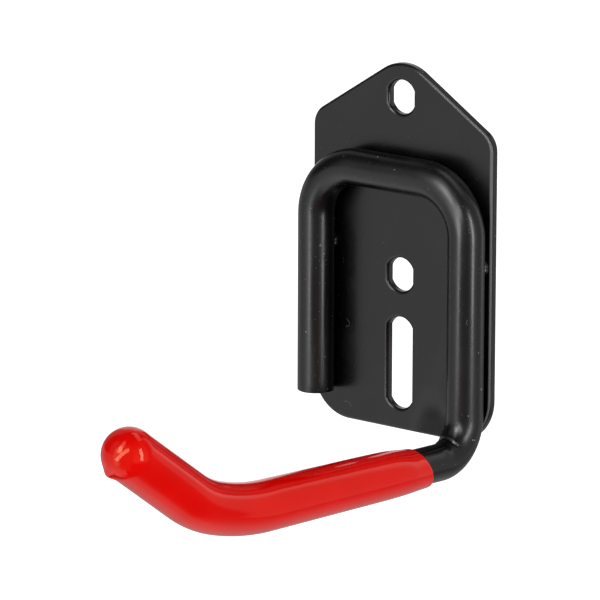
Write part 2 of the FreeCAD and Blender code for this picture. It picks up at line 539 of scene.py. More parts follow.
# Two fibres on the plate's front face, left of the slot.
PLATE_FIBRES = (
    Stroke(((-18.6, -2.3, -39.2), (-17.7, -2.3, -40.0), (-17.9, -2.3, -41.0), (-18.9, -2.3, -41.3)), 0.14),
    Stroke(((-19.5, -2.3, -62.4), (-18.3, -2.3, -62.0), (-17.2, -2.3, -62.6), (-17.0, -2.3, -63.5)), 0.12),
)
# A dull stain low on the plate, right of the slot.
PLATE_STAINS = (Stain((12.0, -2.3, -66.0), 10.5, 0.58), Stain((10.5, -2.3, -57.5), 6.0, 0.20))
# A scratch on the right leg, with the tube drawn out straight.
TUBE_SCRATCHES = (Stroke(((137.8, -3.47, -3.60), (138.5, -3.28, -3.77), (139.1, -3.38, -3.69)), 0.16),)


@dataclass(frozen=True)
class DippedVinyl:
    """Glossy red dipped vinyl, a little wavy where it ran."""

    colour: Colour = (0.60, 0.0008, 0.0004)
    deep_share: float = 0.94
    gloss_tint: Colour = (1.0, 0.52, 0.32)
    roughness: float = 0.08
    roughness_swing: float = 0.015
    mottle_scale: float = 90.0
    colour_range: tuple[float, float] = (0.3, 0.7)
    gloss_range: tuple[float, float] = (0.35, 0.65)
    wave_size: float = 9.0
    wave_depth: float = 0.012

    def build(self) -> bpy.types.Material:
        """Make the finish.

        Returns:
            A new material.
        """
        material, sheet, shader = new_finish(Slot.VINYL.value)
        place = sheet.add("ShaderNodeTexCoord").outputs["Object"]
        shader.inputs["Specular Tint"].default_value = (*self.gloss_tint, 1.0)
        broad = sheet.noise(place, self.mottle_scale, detail=2.0)
        deep = tuple(self.deep_share * part for part in self.colour)
        tint = sheet.blend(sheet.ramp(broad, *self.colour_range), deep, self.colour)
        sheet.join(tint, shader.inputs["Base Color"])
        low, high = self.roughness - self.roughness_swing, self.roughness + self.roughness_swing
        sheet.join(sheet.ramp(broad, *self.gloss_range, low, high), shader.inputs["Roughness"])
        wave = sheet.noise(place, 1.0 / (self.wave_size * MM), detail=1.0)
        sheet.join(sheet.bump(wave, self.wave_depth), shader.inputs["Normal"])
        return material


class BentLine:
    """The tube's centre line: corners joined by straight runs, each inner corner bent to a radius."""

    def __init__(self, corners: list[Vector], radii: list[float]) -> None:
        """Work out the line's length and where each bend starts and ends.

        Args:
            corners: The line's corners in order.
            radii: Bend radius at each corner, 0 at both ends.
        """
        self.corners = corners
        self.radii = radii
        self.bends: list[tuple[float, float]] = []
        station = 0.0
        spent = 0.0
        for index in range(1, len(corners)):
            run = (corners[index] - corners[index - 1]).length
            if index == len(corners) - 1:
                station += run - spent
                break
            turn = (corners[index] - corners[index - 1]).angle(corners[index + 1] - corners[index])
            tangent = radii[index] * math.tan(turn / 2.0)
            start = station + run - spent - tangent
            self.bends.append((start, start + radii[index] * turn))
            station = self.bends[-1][1]
            spent = tangent
        self.length = station

    def build(self) -> bpy.types.Object:
        """Make the corners a chain of edges that carries the bend radii.

        Returns:
            The chain, in the scene.
        """
        mesh = bpy.data.meshes.new("centre_line")
        mesh.from_pydata([tuple(corner * MM) for corner in self.corners],
                         [(index, index + 1) for index in range(len(self.corners) - 1)], [])
        bend = mesh.attributes.new(BEND_RADIUS, "FLOAT", "POINT")
        bend.data.foreach_set("value", np.array(self.radii, np.float32) * MM)
        return add_object("centre_line", mesh)


class WrapTree:
    """Geometry Nodes that wrap a flat drawing round a bent line."""

    bend_steps: ClassVar[int] = 48
    line_step: ClassVar[float] = 0.4

    def __init__(self, line: BentLine) -> None:
        """Build the line and the tree.

        Args:
            line: Centre line that drawings are wrapped round.
        """
        self.line = line
        self.line_object = line.build()
        self.tree = bpy.data.node_groups.new("wrap_round_line", "GeometryNodeTree")
        face = self.tree.interface
        face.new_socket("Drawing", in_out="INPUT", socket_type="NodeSocketGeometry")
        self.sockets = {
            name: face.new_socket(name, in_out="INPUT", socket_type=kind).identifier
            for name, kind in (("Line", "NodeSocketObject"), ("Line Length", "NodeSocketFloat"),
                               ("Bend Steps", "NodeSocketInt"), ("Line Step", "NodeSocketFloat"),
                               ("Finish", "NodeSocketMaterial"))
        }
        face.new_socket("Wrapped", in_out="OUTPUT", socket_type="NodeSocketGeometry")
        self.fill_tree()

    def fill_tree(self) -> None:
        """Add the nodes: bend the line, read it at each station, place each point, give the finish."""
        sheet = NodeSheet(self.tree)
        given = sheet.add("NodeGroupInput").outputs
        chain = sheet.add("GeometryNodeObjectInfo", {"Object": given["Line"]}, transform_space="RELATIVE")
        corners = sheet.add("GeometryNodeMeshToCurve", {"Mesh": chain.outputs["Geometry"]})
        radius = sheet.add("GeometryNodeInputNamedAttribute", {"Name": BEND_RADIUS}, data_type="FLOAT")
        bent = sheet.add("GeometryNodeFilletCurve", {
            "Curve": corners.outputs["Curve"], "Count": given["Bend Steps"],
            "Radius": radius.outputs["Attribute"]}, mode="POLY")
        even = sheet.add("GeometryNodeResampleCurve", {
            "Curve": bent.outputs["Curve"], "Length": given["Line Step"]}, mode="LENGTH")
        position = sheet.add("GeometryNodeInputPosition").outputs[0]
        drawn = sheet.add("ShaderNodeSeparateXYZ", {0: position}).outputs
        cosine, sine = sheet.math("COSINE", drawn["Y"]), sheet.math("SINE", drawn["Y"])
        factor = sheet.math("DIVIDE", drawn["X"], given["Line Length"])
        read = sheet.add("GeometryNodeSampleCurve", {
            "Curves": even.outputs["Curve"], "Factor": factor}, mode="FACTOR", use_all_curves=True).outputs
        across = sheet.vector("CROSS_PRODUCT", read["Tangent"], read["Normal"])
        ahead = sheet.vector("SCALE", read["Normal"], scale=cosine)
        aside = sheet.vector("SCALE", across, scale=sine)
        outward = sheet.vector("NORMALIZE", sheet.vector("ADD", ahead, aside))
        place = sheet.vector("ADD", read["Position"], sheet.vector("SCALE", outward, scale=drawn["Z"]))
        straight = sheet.add("ShaderNodeCombineXYZ", {
            "X": drawn["X"], "Y": sheet.math("MULTIPLY", drawn["Z"], cosine),
            "Z": sheet.math("MULTIPLY", drawn["Z"], sine)})
        kept = sheet.add("GeometryNodeStoreNamedAttribute", {
            "Geometry": given["Drawing"], "Name": STRAIGHT, "Value": straight.outputs[0]},
            data_type="FLOAT_VECTOR", domain="POINT")
        moved = sheet.add("GeometryNodeSetPosition", {"Geometry": kept.outputs[0], "Position": place})
        smooth = sheet.add("GeometryNodeSetShadeSmooth", {"Geometry": moved.outputs[0]})
        real = sheet.add("GeometryNodeRealizeInstances", {"Geometry": smooth.outputs[0]})
        finished = sheet.add("GeometryNodeSetMaterial", {
            "Geometry": real.outputs[0], "Material": given["Finish"]})
        sheet.add("NodeGroupOutput", {0: finished.outputs[0]})

    def wrap(self, name: str, drawing: "Drawing", finish: bpy.types.Material) -> bpy.types.Object:
        """Wrap a drawing and return it as a plain mesh object.

        Args:
            name: The piece's name.
            drawing: Stations, turns and reaches, and their faces.
            finish: The piece's material.

        Returns:
            The piece, at the origin, with no modifier.
        """
        flat = bpy.data.meshes.new(name + "_drawing")
        flat.from_pydata(drawing.points * np.array([MM, 1.0, MM]), [], drawing.faces)
        piece = add_object(name, flat)
        modifier = piece.modifiers.new("wrap", "NODES")
        modifier.node_group = self.tree
        values = {"Line": self.line_object, "Line Length": self.line.length * MM, "Finish": finish,
                  "Bend Steps": self.bend_steps, "Line Step": self.line_step * MM}
        for socket, value in values.items():
            modifier[self.sockets[socket]] = value
        seen = piece.evaluated_get(bpy.context.evaluated_depsgraph_get())
        mesh = bpy.data.meshes.new_from_object(seen)
        piece.modifiers.remove(modifier)
        piece.data = mesh
        mesh.name = name
        bpy.data.meshes.remove(flat)
        return piece

    def remove(self) -> None:
        """Delete the line, once every piece is wrapped."""
        bpy.data.objects.remove(self.line_object)


class Drawing:
    """A closed surface as points of station, turn and reach, with faces that point outwards."""

    def __init__(self) -> None:
        """Start with nothing drawn."""
        self.points = np.zeros((0, 3))
        self.faces: list[tuple[int, ...]] = []

    def loft(self, rows: np.ndarray, closed: bool, poles: tuple[Place, ...] = ()) -> None:
        """Add rows of points, each row a ring, and join each to the next.

        Args:
            rows: Array of rows by columns by 3, each column in the order in which the rings turn.
            closed: Whether the last row joins the first one.
            poles: Points that close the first and the last row, where they are not joined.
        """
        base = len(self.points)
        count, columns = rows.shape[:2]
        self.points = np.vstack([self.points, rows.reshape(-1, 3), np.array(poles).reshape(-1, 3)])
        pairs = list(enumerate(np.roll(np.arange(columns), -1)))
        for row in range(count if closed else count - 1):
            here = base + row * columns
            there = base + (row + 1) % count * columns
            self.faces += [(here + column, here + after, there + after, there + column)
                           for column, after in pairs]
        if poles:
            last = base + (count - 1) * columns
            pole = base + count * columns
            self.faces += [(pole, base + after, base + column) for column, after in pairs]
            self.faces += [(last + column, last + after, pole + 1) for column, after in pairs]


@dataclass(frozen=True)
class Bump:
    """A soft lump on a wrapped surface, or a dent where its height is negative."""

    station: float
    turn_deg: float
    height: float
    along: float
    around: float

    def lift(self, station: np.ndarray, turn: np.ndarray, radius: float) -> np.ndarray:
        """Work out how far the lump lifts the surface.

        Args:
            station: Station of each point.
            turn: Turn of each point.
            radius: The surface's radius.

        Returns:
            The lift at each point.
        """
        aside = (turn - math.radians(self.turn_deg) + math.pi) % FULL_TURN - math.pi
        far = ((station - self.station) / self.along) ** 2 + (aside * radius / self.around) ** 2
        return self.height * np.exp(-far)


@dataclass(frozen=True)
class Groove:
    """A crease that runs through some points of a wrapped surface."""

    points: tuple[tuple[float, float], ...]
    depth: float
    width: float

    def lift(self, station: np.ndarray, turn: np.ndarray, radius: float) -> np.ndarray:
        """Work out how far the crease lifts the surface, which is below 0.

        Args:
            station: Station of each point.
            turn: Turn of each point.
            radius: The surface's radius.

        Returns:
            The lift at each point.
        """
        nearest = np.full(station.shape, np.inf)
        route = [np.array((place, math.radians(angle) * radius)) for place, angle in self.points]
        for start, end in zip(route, route[1:]):
            run = end - start
            offset = np.stack([station - start[0], turn * radius - start[1]], axis=-1)
            share = np.clip(offset @ run / (run @ run), 0.0, 1.0)
            away = offset - share[..., None] * run
            nearest = np.minimum(nearest, np.hypot(away[..., 0], away[..., 1]))
        return -self.depth * np.exp(-(nearest / self.width) ** 2)


@dataclass
class HookTube:
    """The bent steel tube: an upside-down U on the plate, whose right leg runs on into the arm."""

    radius: float = 5.0
    wall: float = 1.2
    leg_end_rise: float = 8.0
    loop_bend_radius: float = 14.4
    arm_drop: float = 2.0
    arm_bend_radius: float = 10.6
    arm_rise_deg: float = 2.2
    arm_length: float = 92.2
    tip_turns_deg: tuple[float, float] = (15.2, 17.5)
    tip_radii: tuple[float, float] = (78.0, 40.0)
    tip_turn_spacing: float = 16.6
    tip_length: float = 32.0
    edge_round: float = 0.25
    edge_rings: int = 5
    around: int = 96
    bore_thinning: int = 4
    straight_step: float = 2.4
    bend_step: float = 0.6
    crease_step: float = 0.22
    crease_zone: tuple[float, float] = (166.0, 190.0)
    marks: tuple[Bump | Groove, ...] = (
        Groove(((175.4, 312.0), (175.4, 290.0), (176.0, 262.0), (176.7, 245.0), (176.6, 228.0)), 0.42, 0.75),
        Bump(172.2, 312.0, 0.28, 2.2, 3.0),
        Groove(((177.6, 286.0), (178.4, 270.0), (179.4, 255.0)), 0.16, 0.5),
        Bump(176.6, 274.0, 0.10, 0.7, 1.6),
        Bump(182.8, 236.0, 0.22, 1.6, 1.6),
        Bump(178.9, 262.0, 0.10, 0.8, 1.2),
    )

    def centre_line(self, cap: float) -> BentLine:
        """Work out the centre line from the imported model's places.

        Args:
            cap: Distance from the tip's last corner to the line's end.

        Returns:
            The line from the left leg's cut end to past the tube's other end.
        """
        plate_low, plate_high = node_box(Node.PLATE)
        tube_low, tube_high = node_box(Node.TUBE)
        depth = plate_low.y - self.radius
        left, right = tube_low.x + self.radius, tube_high.x - self.radius
        bar = tube_high.z - self.radius
        heel = Vector((right, depth, plate_low.z - self.arm_drop))
        rises = np.cumsum([self.arm_rise_deg, *self.tip_turns_deg])
        runs = (self.arm_length, self.tip_turn_spacing, self.tip_length + cap)
        corners = [Vector((left, depth, plate_low.z + self.leg_end_rise)), Vector((left, depth, bar)),
                   Vector((right, depth, bar)), heel]
        for rise, run in zip(np.radians(rises), runs):
            corners.append(corners[-1] + Vector((0.0, -math.cos(rise), math.sin(rise))) * run)
        radii = [0.0, self.loop_bend_radius, self.loop_bend_radius, self.arm_bend_radius,
                 *self.tip_radii, 0.0]
        return BentLine(corners, radii)

    def stations(self, line: BentLine, end: float) -> np.ndarray:
        """Choose where the tube's rings lie, close together in bends and at the crease.

        Args:
            line: The tube's centre line.
            end: Station of the tube's end under the sleeve.

        Returns:
            Rising stations between the rounded cut ends.
        """
        zones = [(*bend, self.bend_step) for bend in line.bends] + [(*self.crease_zone, self.crease_step)]
        last = end - self.edge_round
        places = [self.edge_round]
        while places[-1] < last:
            here = places[-1]
            near = [size for start, stop, size in zones if start - size <= here <= stop]
            coming = [start for start, _, _ in zones if start > here + TINY]
            step = min(near or [self.straight_step])
            ahead = min(coming + [last])
            places.append(min(here + step, max(ahead, here + self.crease_step)))
        places[-1] = last
        return np.array(places)

    def drawing(self, line: BentLine, end: float) -> Drawing:
        """Draw the outer wall, the bore and the two rounded cut ends.

        Args:
            line: The tube's centre line.
            end: Station of the tube's end under the sleeve.

        Returns:
            The closed drawing.
        """
        places = self.stations(line, end)
        bore = self.radius - self.wall
        curve = np.linspace(0.0, QUARTER_TURN, self.edge_rings)
        inset = self.edge_round * (1.0 - np.sin(curve))
        drop = self.edge_round * (1.0 - np.cos(curve))
        inner = places[::self.bore_thinning]
        station = np.concatenate([inset[::-1], places[1:-1], end - inset, end - inset[::-1],
                                  inner[-2:0:-1], inset])
        reach = np.concatenate([self.radius - drop[::-1], np.full(len(places) - 2, self.radius),
                                self.radius - drop, bore + drop[::-1], np.full(len(inner) - 2, bore),
                                bore + drop])
        turn = np.linspace(0.0, FULL_TURN, self.around, endpoint=False)
        stations, turns = np.meshgrid(station, turn, indexing="ij")
        reaches = np.repeat(reach[:, None], self.around, axis=1)
        outside = reaches > self.radius - self.edge_round
        lift = sum(mark.lift(stations, turns, self.radius) for mark in self.marks)
        drawing = Drawing()
        drawing.loft(np.stack([stations, turns, reaches + outside * lift], axis=-1), closed=True)
        return drawing


@dataclass
class GripSleeve:
    """The dipped vinyl sleeve: thin at its slanted rim, thicker along the arm and round the tip."""

    tip_radius: float = 7.1
    heel_to_rim: float = 9.1
    slant_deg: float = 24.0
    slant_fade: float = 16.0
    rim_round: float = 0.45
    rim_share: float = 0.9
    rim_rings: int = 7
    face_rings: int = 2
    tube_end_cover: float = 5.0
    bore_rings: int = 40
    bore_end_rings: int = 4
    bore_pole_gap: float = 0.4
    bore_blend: float = 0.5
    wall_places: tuple[float, ...] = (0.0, 3.0, 7.7, 11.0, 15.0, 22.0, 75.0, 95.0, 200.0)
    walls: tuple[float, ...] = (0.62, 0.80, 1.17, 1.32, 1.42, 1.50, 1.95, 2.1, 2.1)
    wall_reading: tuple[float, float, float] = (-4.0, 204.0, 0.25)
    wall_blend_readings: int = 17
    eccentric: float = 0.12
    eccentric_fade: float = 12.0
    drip_side_deg: float = 30.0
    drip_down_deg: float = 40.0
    drip_height: float = 0.7
    drip_spread_deg: float = 13.0
    drip_fade: float = 6.0
    around: int = 128
    first_step: float = 0.25
    step: float = 0.55
    dome_rings: int = 44
    dome_pole_gap: float = 0.03

    def wall(self, distance: np.ndarray) -> np.ndarray:
        """Read the wall over the tube, with its changes blended.

        Args:
            distance: Distances from the rim.

        Returns:
            The wall at each distance.
        """
        fine = np.arange(*self.wall_reading)
        raw = np.interp(fine, self.wall_places, self.walls)
        kernel = np.hanning(self.wall_blend_readings)
        smooth = np.convolve(raw, kernel / kernel.sum(), mode="same")
        return np.interp(distance, fine, smooth)

    def profile(self, length: float) -> tuple[np.ndarray, np.ndarray]:
        """Work out the section from the inner pole round the rim to the dome.

        Args:
            length: Distance along the line from the rim to the dome's pole.

        Returns:
            Distance from the rim and reach, for each ring.
        """
        tube = HookTube.radius
        tube_end = length - self.tube_end_cover
        dome = length - self.tip_radius
        inner = np.linspace(tube_end, 0.0, self.bore_rings)
        bore_end = np.linspace(self.bore_pole_gap, tube, self.bore_end_rings)
        thin = float(self.wall(np.array([0.0]))[0])
        curve = np.linspace(0.0, QUARTER_TURN, self.rim_rings)
        rim = min(self.rim_round, self.rim_share * thin)
        rim_distance = rim * (1.0 - np.sin(curve))
        rim_reach = tube + thin - rim * (1.0 - np.cos(curve))
        face_reach = np.linspace(tube, rim_reach[-1], self.face_rings + 2)[1:-1]
        outer = np.arange(rim + self.first_step, dome, self.step)
        falling = np.linspace(QUARTER_TURN, self.dome_pole_gap, self.dome_rings)
        distance = np.concatenate([np.full(len(bore_end), tube_end), inner[1:], np.zeros(len(face_reach)),
                                   rim_distance[::-1], outer, dome + self.tip_radius * np.cos(falling)])
        reach = np.concatenate([bore_end, np.full(len(inner) - 1, tube), face_reach, rim_reach[::-1],
                                tube + self.wall(outer), self.tip_radius * np.sin(falling)])
        return distance, reach

    def drip(self, axis: Vector, side: Vector, aside: Vector, turn: np.ndarray,
             fall: np.ndarray) -> np.ndarray:
        """Work out how far the drip stands out from the dome.

        Args:
            axis: The line's direction at the tip.
            side: Direction of turn 0 there.
            aside: Direction of a quarter turn there.
            turn: Turn of each point.
            fall: Angle of each point from the dome's pole.

        Returns:
            The height at each point.
        """
        level, down = math.radians(self.drip_side_deg), math.radians(self.drip_down_deg)
        flat = math.cos(down)
        towards = -Vector((math.sin(level) * flat, math.cos(level) * flat, math.sin(down)))
        facing = (np.cos(fall) * axis.dot(towards) + np.sin(fall) * np.cos(turn) * side.dot(towards)
                  + np.sin(fall) * np.sin(turn) * aside.dot(towards))
        away = np.degrees(np.arccos(np.clip(facing, -1.0, 1.0)))
        return self.drip_height * np.exp(-(away / self.drip_spread_deg) ** 2)

    def drawing(self, line: BentLine) -> Drawing:
        """Draw the sleeve as one closed surface.

        Args:
            line: Centre line, which ends at the dome's pole.

        Returns:
            The closed drawing.
        """
        _, heel_end = line.bends[2]
        rim = heel_end + self.heel_to_rim
        distance, reach = self.profile(line.length - rim)
        turn = np.linspace(0.0, FULL_TURN, self.around, endpoint=False)
        distances, turns = np.meshgrid(distance, turn, indexing="ij")
        reaches = np.repeat(reach[:, None], self.around, axis=1)
        outside = smooth_step(reaches, HookTube.radius, HookTube.radius + self.bore_blend)
        fade = 1.0 - smooth_step(distances, 0.0, self.slant_fade)
        slant = -reaches * math.tan(math.radians(self.slant_deg)) * np.sin(turns) * fade
        uneven = np.exp(-distances / self.eccentric_fade) * np.sin(turns) * self.eccentric
        axis = (line.corners[-1] - line.corners[-2]).normalized()
        side = Vector((-1.0, 0.0, 0.0))
        dome = line.length - self.tip_radius - rim
        fall = np.arctan2(reaches, distances - dome)
        near_tip = smooth_step(distances, dome - self.drip_fade, dome)
        drip = self.drip(axis, side, axis.cross(side), turns, fall) * near_tip
        reaches = reaches + outside * (uneven + drip * np.sin(fall))
        stations = rim + distances + slant + drip * np.cos(fall) * outside
        points = np.stack([stations, turns, reaches], axis=-1)
        drawing = Drawing()
        inner_pole = (rim + distance[0], 0.0, 0.0)
        outer_pole = (rim + dome + self.tip_radius, 0.0, 0.0)
        drawing.loft(points, closed=False, poles=(inner_pole, outer_pole))
        return drawing


@dataclass
class WeldBeads:
    """Short beads in the wedges between the tube and the plate: four tacks and two seams."""

    radius: float = 1.3
    reach: float = 2.5
    lift: float = 0.5
    tack_length: float = 3.0
    tack_height: float = 48.9
    seam_length: float = 10.0
    seam_spacing: float = 20.0
    ripple: float = 0.025
    ripple_pitch: float = 1.4
    taper: float = 2.2
    columns: int = 28
    corner_share: float = 0.999
    end_face: float = 0.02
    step: float = 0.16

    def section(self, size: float) -> tuple[np.ndarray, np.ndarray]:
        """Work out one section, between the tube, the plate and the bead's own round face.

        Args:
            size: The bead's radius at this section.

        Returns:
            Angle from the plate's side and reach, round the section.
        """
        tube = HookTube.radius
        centre = math.hypot(self.reach, tube - self.lift)
        middle = math.atan2(self.reach, tube - self.lift)
        spread = math.acos((tube ** 2 + centre ** 2 - size ** 2) / (2.0 * tube * centre))
        angle = middle + spread * np.linspace(-self.corner_share, self.corner_share, self.columns // 2)
        offset = angle - middle
        face = centre * np.cos(offset) + np.sqrt(np.maximum(size ** 2 - (centre * np.sin(offset)) ** 2, 0.0))
        outer = np.minimum(face, tube / np.cos(angle))
        return np.concatenate([angle, angle[::-1]]), np.concatenate([outer, np.full(len(angle), tube)])

    def draw_bead(self, drawing: Drawing, station: float, length: float, side: int) -> None:
        """Add one bead to the drawing.

        Args:
            drawing: Drawing to add to.
            station: Station of the bead's middle.
            length: Length between the centres of its round ends.
            side: 1 on the side of greater turn, -1 on the other.
        """
        smallest = math.hypot(self.reach, HookTube.radius - self.lift) - HookTube.radius + self.end_face
        over = math.sqrt(self.radius ** 2 - smallest ** 2)
        whole = length + 2.0 * over
        places = np.linspace(-length / 2.0 - over, length / 2.0 + over, int(whole / self.step))
        inward = length / 2.0 + over - np.abs(places)
        sizes = smallest + (self.radius - smallest) * smooth_step(inward, 0.0, self.taper)
        waves = 1.0 - self.ripple * (0.5 + 0.5 * np.cos(FULL_TURN * places / self.ripple_pitch))
        rows = []
        for place, size in zip(places, np.maximum(sizes * waves, smallest)):
            angle, reach = self.section(float(size))
            turn = QUARTER_TURN + side * angle
            row = np.stack([np.full(len(angle), station + place), turn, reach], axis=-1)
            rows.append(row if side > 0 else row[::-1])
        rows = np.array(rows)
        poles = tuple(tuple(rows[index].mean(axis=0)) for index in (0, -1))
        drawing.loft(rows, closed=False, poles=poles)

    def drawing(self, line: BentLine) -> Drawing:
        """Draw the tacks beside both legs and the seams under the bar.

        Args:
            line: The tube's centre line.

        Returns:
            The drawing, with each bead closed.
        """
        drawing = Drawing()
        plate_low, _ = node_box(Node.PLATE)
        tack = plate_low.z + self.tack_height
        (_, bar_start), (bar_end, right_leg_start) = line.bends[:2]
        left = tack - line.corners[0].z
        right = right_leg_start + line.corners[2].z - line.radii[2] - tack
        bar = (bar_start + bar_end) / 2.0
        for station in (left, right):
            for side in (-1, 1):
                self.draw_bead(drawing, station, self.tack_length, side)
        for side in (-1, 1):
            self.draw_bead(drawing, bar + side * self.seam_spacing / 2.0, self.seam_length, -1)
        return drawing


@dataclass
class WallPlate:
    """The stamped plate: its house-shaped outline, two screw holes and a long slot."""

    shoulder_height: float = 83.4
    peak_height: float = 102.6
    bottom_corner_radius: float = 12.5
    shoulder_radius: float = 6.0
    peak_radius: float = 12.5
    hole_offset: float = -0.35
    hole_width: float = 8.3
    hole_length: float = 9.2
    hole_end_radius: float = 4.6
    hole_pitch: float = 48.5
    slot_length: float = 25.3
    slot_drop: float = 24.35
    front_round: float = 0.9
    back_round: float = 0.15
    corner_blend: float = 0.12
    corner_lean: float = 0.5
    arc_steps: int = 20
    roll_steps: int = 10
    back_steps: int = 4

    def ring(self, corners: list[Vector], radii: list[float]) -> np.ndarray:
        """Round a polygon's corners.

        Args:
            corners: Corners in order, on the wall plane.
            radii: Radius at each corner.

        Returns:
            Rows of X, Z and the outward direction there, round the outline.
        """
        rows = []
        count = len(corners)
        for index, corner in enumerate(corners):
            back = (corners[index - 1] - corner).normalized()
            ahead = (corners[(index + 1) % count] - corner).normalized()
            half = back.angle(ahead) / 2.0
            middle = (back + ahead).normalized()
            centre = corner + middle * (radii[index] / math.sin(half))
            for share in np.linspace(-1.0, 1.0, self.arc_steps):
                turn = Matrix.Rotation(share * (QUARTER_TURN - half), 2)
                out = turn @ (-middle)
                rows.append((*(centre + out * radii[index]), *out))
        return np.array(rows)

    def outline(self) -> np.ndarray:
        """Work out the plate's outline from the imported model's box.

        Returns:
            Rows of X, Z and the outward direction, anticlockwise seen from the front.
        """
        low, high = node_box(Node.PLATE)
        shoulder = low.z + self.shoulder_height
        corners = [Vector((low.x, low.z)), Vector((high.x, low.z)), Vector((high.x, shoulder)),
                   Vector((0.0, low.z + self.peak_height)), Vector((low.x, shoulder))]
        radii = [self.bottom_corner_radius, self.bottom_corner_radius, self.shoulder_radius,
                 self.peak_radius, self.shoulder_radius]
        return self.ring(corners, radii)

    def hole(self, middle: float, length: float) -> np.ndarray:
        """Return the edge of a hole with flat sides and round ends, with directions into the hole.

        Args:
            middle: Z of the hole's middle.
            length: The hole's length.

        Returns:
            Rows of X, Z and direction, clockwise seen from the front.
        """
        radius = self.hole_end_radius
        corner = math.acos(self.hole_width / 2.0 / radius)
        arc = np.linspace(math.pi - corner, corner, 2 * self.arc_steps)
        blend = smooth_step(np.abs(arc - QUARTER_TURN), QUARTER_TURN - corner - self.corner_blend,
                            QUARTER_TURN - corner)
        lean = arc + (np.where(arc > QUARTER_TURN, math.pi, 0.0) - arc) * blend * self.corner_lean
        rows = []
        for side in (1.0, -1.0):
            rows.append(np.stack([side * radius * np.cos(arc) + self.hole_offset,
                                  middle + side * (length / 2.0 - radius + radius * np.sin(arc)),
                                  -side * np.cos(lean), -side * np.sin(lean)], axis=-1))
        return np.vstack(rows)

    def edge_rows(self) -> list[tuple[float, float, float]]:
        """Work out the rings of every edge, from the front face to the back.

        Returns:
            Each ring's inset from the outline, its Y and how far its normal leans towards the front.
        """
        thickness = -node_box(Node.PLATE)[0].y
        rows = []
        for turn in np.linspace(0.0, QUARTER_TURN, self.roll_steps):
            inset, sunk = 1.0 - math.sin(turn), 1.0 - math.cos(turn)
            rows.append((self.front_round * inset, -thickness + self.front_round * sunk, QUARTER_TURN - turn))
        for turn in np.linspace(0.0, QUARTER_TURN, self.back_steps):
            inset, raised = 1.0 - math.cos(turn), 1.0 - math.sin(turn)
            rows.append((self.back_round * inset, -self.back_round * raised, -turn))
        return rows

    @staticmethod
    def rolled_edge(loop: np.ndarray,
                    rows: list[tuple[float, float, float]]) -> tuple[np.ndarray, np.ndarray]:
        """Work out the points and exact normals of one rolled edge.

        Args:
            loop: X, Z and direction round the edge.
            rows: Inset, Y and lean of each ring.

        Returns:
            The points and their normals, ring after ring.
        """
        points, normals = [], []
        for inset, depth, lean in rows:
            place = loop[:, :2] - inset * loop[:, 2:]
            out = loop[:, 2:] * math.cos(lean)
            points.append(np.stack([place[:, 0], np.full(len(loop), depth), place[:, 1]], axis=-1))
            normals.append(np.stack([out[:, 0], np.full(len(loop), -math.sin(lean)), out[:, 1]], axis=-1))
        return np.vstack(points), np.vstack(normals)

    @staticmethod
    def flat_face(place: np.ndarray, rings: list[np.ndarray], facing: float) -> list[tuple[int, ...]]:
        """Fill the front or the back between the outline and the holes.

        Args:
            place: All of the plate's points.
            rings: Indices of the points round the outline and round each hole.
            facing: -1 for the front face, 1 for the back face.

        Returns:
            Triangles that face outwards.
        """
        flat = np.concatenate(rings)
        outlines = [[Vector(place[index]) for index in ring] for ring in rings]
        faces: list[tuple[int, ...]] = []
        for triangle in tessellate_polygon(outlines):
            a, b, c = (int(flat[index]) for index in triangle)
            normal = np.cross(place[b] - place[a], place[c] - place[a])
            faces.append((a, b, c) if normal[1] * facing > 0.0 else (a, c, b))
        return faces

    def build(self, finish: bpy.types.Material) -> bpy.types.Object:
        """Build the plate with exact normals on its rolled edges.

        Args:
            finish: The plate's material.

        Returns:
            The plate, at the origin.
        """
        lower = -self.hole_pitch / 2.0
        loops = [self.outline(), self.hole(-lower, self.hole_length), self.hole(lower, self.hole_length),
                 self.hole(lower - self.slot_drop, self.slot_length)]
        rows = self.edge_rows()
        edges = [self.rolled_edge(loop, rows) for loop in loops]
        faces: list[tuple[int, ...]] = []
        fronts: list[np.ndarray] = []
        backs: list[np.ndarray] = []
        base = 0
        for points, _ in edges:
            index = base + np.arange(len(points)).reshape(len(rows), -1)
            after = np.roll(index, -1, axis=1)
            for row in range(len(rows) - 1):
                faces += list(zip(index[row].tolist(), index[row + 1].tolist(),
                                  after[row + 1].tolist(), after[row].tolist()))
            fronts.append(index[0])
            backs.append(index[-1])
            base += len(points)
        place = np.vstack([points for points, _ in edges])
        faces += self.flat_face(place, fronts, -1.0) + self.flat_face(place, backs, 1.0)
        mesh = bpy.data.meshes.new(Node.PLATE.value + "_dressed")
        mesh.from_pydata(place * MM, [], faces)
        mesh.polygons.foreach_set("use_smooth", [True] * len(mesh.polygons))
        mesh.materials.append(finish)
        normals = np.vstack([normals for _, normals in edges])
        mesh.normals_split_custom_set_from_vertices([tuple(normal) for normal in normals])
        return add_object("pointed_plate", mesh)


def direction(azimuth: float, elevation: float) -> Vector:
    """Return the direction at an azimuth from -Y towards +X and an elevation, in degrees."""
    turn, rise = math.radians(azimuth), math.radians(elevation)
    return Vector((math.sin(turn) * math.cos(rise), -math.cos(turn) * math.cos(rise), math.sin(rise)))


